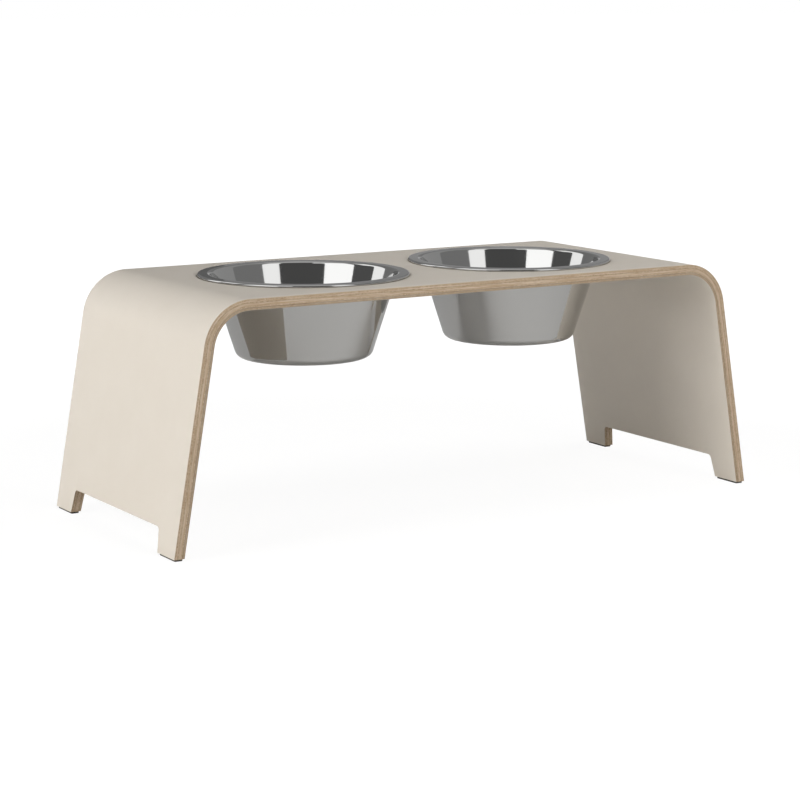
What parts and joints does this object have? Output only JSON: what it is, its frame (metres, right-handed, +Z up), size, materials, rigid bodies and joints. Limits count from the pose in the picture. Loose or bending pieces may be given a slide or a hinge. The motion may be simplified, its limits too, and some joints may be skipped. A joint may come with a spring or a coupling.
{
  "type": "elevated dog feeder",
  "caption": "Raised dog feeder: a bent plywood bench, laminated on both faces, with lift-out steel bowls hung in holes in its top and a glide under each foot.",
  "frame": {"origin": "floor level, under the middle of the board", "axes": "+X along the board to the right-hand leg, -Y towards the front that the picture shows, +Z up"},
  "size_m": [0.668, 0.268, 0.2394],
  "materials": {
    "laminate": "matt high-pressure laminate, warm pale beige-grey",
    "cross_grain_veneer": "beech veneer seen across its grain, clear oiled edge",
    "long_grain_veneer": "beech veneer seen along its grain, clear oiled edge",
    "steel": "bright polished stainless steel",
    "glide_rubber": "dark matt rubber pad"
  },
  "bodies": {
    "bench": {"outer_laminate": "laminate", "veneer_1": "cross_grain_veneer", "veneer_2": "long_grain_veneer", "veneer_3": "cross_grain_veneer", "veneer_4": "long_grain_veneer", "veneer_5": "cross_grain_veneer", "veneer_6": "long_grain_veneer", "veneer_7": "cross_grain_veneer", "inner_laminate": "laminate", "glide_left_front": "glide_rubber", "glide_left_back": "glide_rubber", "glide_right_front": "glide_rubber", "glide_right_back": "glide_rubber"},
    "left_bowl": {"bowl_left": "steel"},
    "right_bowl": {"bowl_right": "steel"}
  },
  "joints": [
    {"name": "left_bowl_lift", "type": "slide", "parent": "bench", "child": "left_bowl", "axis": [0, 0, 1], "range_m": [0, 0.12]},
    {"name": "right_bowl_lift", "type": "slide", "parent": "bench", "child": "right_bowl", "axis": [0, 0, 1], "range_m": [0, 0.12]}
  ]
}
